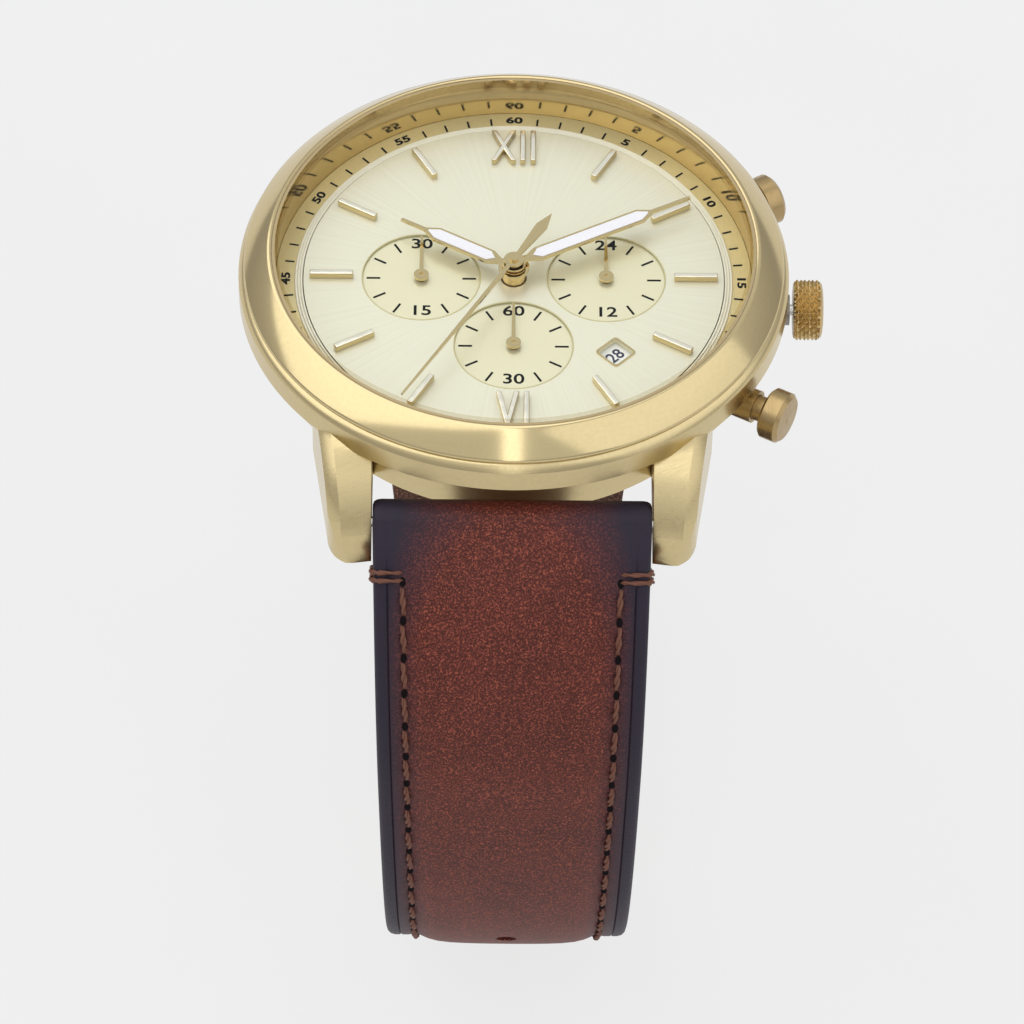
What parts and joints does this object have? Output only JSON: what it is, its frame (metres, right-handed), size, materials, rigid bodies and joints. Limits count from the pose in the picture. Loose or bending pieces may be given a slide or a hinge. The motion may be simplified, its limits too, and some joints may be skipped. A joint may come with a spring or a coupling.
{
  "type": "chronograph wristwatch",
  "caption": "Round chronograph wristwatch with applied markers, recessed counters, crown, push buttons and a stitched leather strap closed by a pin buckle.",
  "frame": {"origin": "centre of the case back's outer face", "axes": "+Z out of the dial, +Y towards 12 o'clock, +X towards the crown at 3 o'clock"},
  "size_m": [0.0471, 0.064, 0.0677],
  "materials": {
    "gold_case": "gold-coloured plating, polished and brushed",
    "gold_hands": "gold-coloured, fine satin",
    "steel": "satin",
    "crystal": "clear, polished",
    "dial_lacquer": "champagne sunray",
    "marker": "bright faceted",
    "rubber_seal": "matte",
    "white_plastic": "matte",
    "movement_metal": "satin",
    "train_brass": "satin",
    "board": "solder mask",
    "coil_wire": "enamelled wire",
    "strap_leather": "waxed, mottled",
    "lining_leather": "smooth"
  },
  "bodies": {
    "watch": {"mid_case": "gold_case", "bezel": "gold_case", "crystal": "crystal", "crystal_gasket": "rubber_seal", "chapter_ring": "gold_case", "dial": "dial_lacquer", "dial_markers": "marker", "date_window_frame": "gold_hands", "movement_holder": "white_plastic", "main_plate": "movement_metal", "train_bridge": "train_brass", "bridge_screws": "steel", "circuit_board": "board", "quartz_crystal": "steel", "motor_coils": "coil_wire", "coin_cell": "steel", "battery_clamp": "train_brass", "case_back": "steel", "case_back_gasket": "rubber_seal", "crown_tube": "steel", "pusher_tubes": "gold_case", "pusher_springs": "steel", "spring_bars": "steel", "spring_bar_springs": "steel", "long_strap_top": "strap_leather", "long_strap_lining": "lining_leather", "short_strap_top": "strap_leather", "short_strap_lining": "lining_leather", "fixed_keeper": "strap_leather", "buckle_bar": "steel"},
    "sliding_keeper": {"sliding_keeper": "strap_leather"},
    "buckle_frame": {"buckle_frame": "gold_case"},
    "buckle_tongue": {"buckle_tongue": "gold_case"},
    "tip_6_left": {"spring_bar_tip_6_left": "steel"},
    "tip_6_right": {"spring_bar_tip_6_right": "steel"},
    "tip_12_left": {"spring_bar_tip_12_left": "steel"},
    "tip_12_right": {"spring_bar_tip_12_right": "steel"},
    "crown_carriage": {"crown_gasket": "rubber_seal"},
    "crown": {"crown": "gold_case", "winding_stem": "steel"},
    "upper_pusher": {"upper_pusher": "gold_case", "upper_pusher_clip": "steel"},
    "lower_pusher": {"lower_pusher": "gold_case", "lower_pusher_clip": "steel"},
    "hour": {"hour_hand": "gold_hands", "hour_wheel": "train_brass"},
    "minute": {"minute_hand": "gold_hands", "minute_wheel": "train_brass"},
    "chrono_seconds": {"chrono_seconds_hand": "gold_hands", "chrono_wheel": "train_brass"},
    "small_seconds": {"small_seconds_hand": "gold_hands", "seconds_wheel": "train_brass"},
    "chrono_minute": {"chrono_minute_hand": "gold_hands", "chrono_minute_wheel": "train_brass"},
    "hour24": {"hour24_hand": "gold_hands", "hour24_wheel": "train_brass"},
    "date_disc": {"date_disc": "white_plastic"}
  },
  "joints": [
    {"name": "minute_spin", "type": "hinge", "parent": "watch", "child": "minute", "pos_m": [0, 0, 0.0097], "axis": [0, 0, -1], "continuous": true},
    {"name": "hour_spin", "type": "hinge", "parent": "watch", "child": "hour", "pos_m": [0, 0, 0.0092], "axis": [0, 0, -1], "continuous": true},
    {"name": "hour24_spin", "type": "hinge", "parent": "watch", "child": "hour24", "pos_m": [0.00743, 0, 0.0088], "axis": [0, 0, -1], "continuous": true},
    {"name": "small_seconds_spin", "type": "hinge", "parent": "watch", "child": "small_seconds", "pos_m": [0, -0.00743, 0.0088], "axis": [0, 0, -1], "continuous": true},
    {"name": "chrono_seconds_spin", "type": "hinge", "parent": "watch", "child": "chrono_seconds", "pos_m": [0, 0, 0.0101], "axis": [0, 0, -1], "continuous": true},
    {"name": "chrono_minute_spin", "type": "hinge", "parent": "watch", "child": "chrono_minute", "pos_m": [-0.00743, 0, 0.0088], "axis": [0, 0, -1], "continuous": true},
    {"name": "date_spin", "type": "hinge", "parent": "watch", "child": "date_disc", "pos_m": [0, 0, 0.0077], "axis": [0, 0, -1], "continuous": true},
    {"name": "crown_pull", "type": "slide", "parent": "watch", "child": "crown_carriage", "axis": [1, 0, 0], "range_m": [0, 0.0015]},
    {"name": "crown_turn", "type": "hinge", "parent": "crown_carriage", "child": "crown", "pos_m": [0.0226, 0, 0.00495], "axis": [1, 0, 0], "continuous": true},
    {"name": "upper_pusher_press", "type": "slide", "parent": "watch", "child": "upper_pusher", "axis": [-0.8572, -0.515, 0], "range_m": [0, 0.00085], "stiffness_N_per_m": 1500},
    {"name": "lower_pusher_press", "type": "slide", "parent": "watch", "child": "lower_pusher", "axis": [-0.8746, 0.4848, 0], "range_m": [0, 0.00085], "stiffness_N_per_m": 1500},
    {"name": "buckle_frame_hinge", "type": "hinge", "parent": "watch", "child": "buckle_frame", "pos_m": [0, -0.0015, -0.0512], "axis": [1, 0, 0], "range_deg": [0, 10]},
    {"name": "buckle_tongue_hinge", "type": "hinge", "parent": "buckle_frame", "child": "buckle_tongue", "pos_m": [0, -0.0015, -0.0512], "axis": [1, 0, 0], "range_deg": [0, 12]},
    {"name": "sliding_keeper_slide", "type": "slide", "parent": "watch", "child": "sliding_keeper", "axis": [0, 1, 0], "range_m": [-0.0028, 0.0015]},
    {"name": "tip_6_left_press", "type": "slide", "parent": "watch", "child": "tip_6_left", "axis": [1, 0, 0], "range_m": [0, 0.0009], "stiffness_N_per_m": 1000},
    {"name": "tip_6_right_press", "type": "slide", "parent": "watch", "child": "tip_6_right", "axis": [-1, 0, 0], "range_m": [0, 0.0009], "stiffness_N_per_m": 1000},
    {"name": "tip_12_left_press", "type": "slide", "parent": "watch", "child": "tip_12_left", "axis": [1, 0, 0], "range_m": [0, 0.0009], "stiffness_N_per_m": 1000},
    {"name": "tip_12_right_press", "type": "slide", "parent": "watch", "child": "tip_12_right", "axis": [-1, 0, 0], "range_m": [0, 0.0009], "stiffness_N_per_m": 1000}
  ],
  "couplings": [
    {"joint": "hour_spin", "follows": "minute_spin", "ratio": 0.083333},
    {"joint": "hour24_spin", "follows": "minute_spin", "ratio": 0.041667},
    {"joint": "small_seconds_spin", "follows": "minute_spin", "ratio": 60},
    {"joint": "chrono_minute_spin", "follows": "chrono_seconds_spin", "ratio": 0.033333}
  ]
}
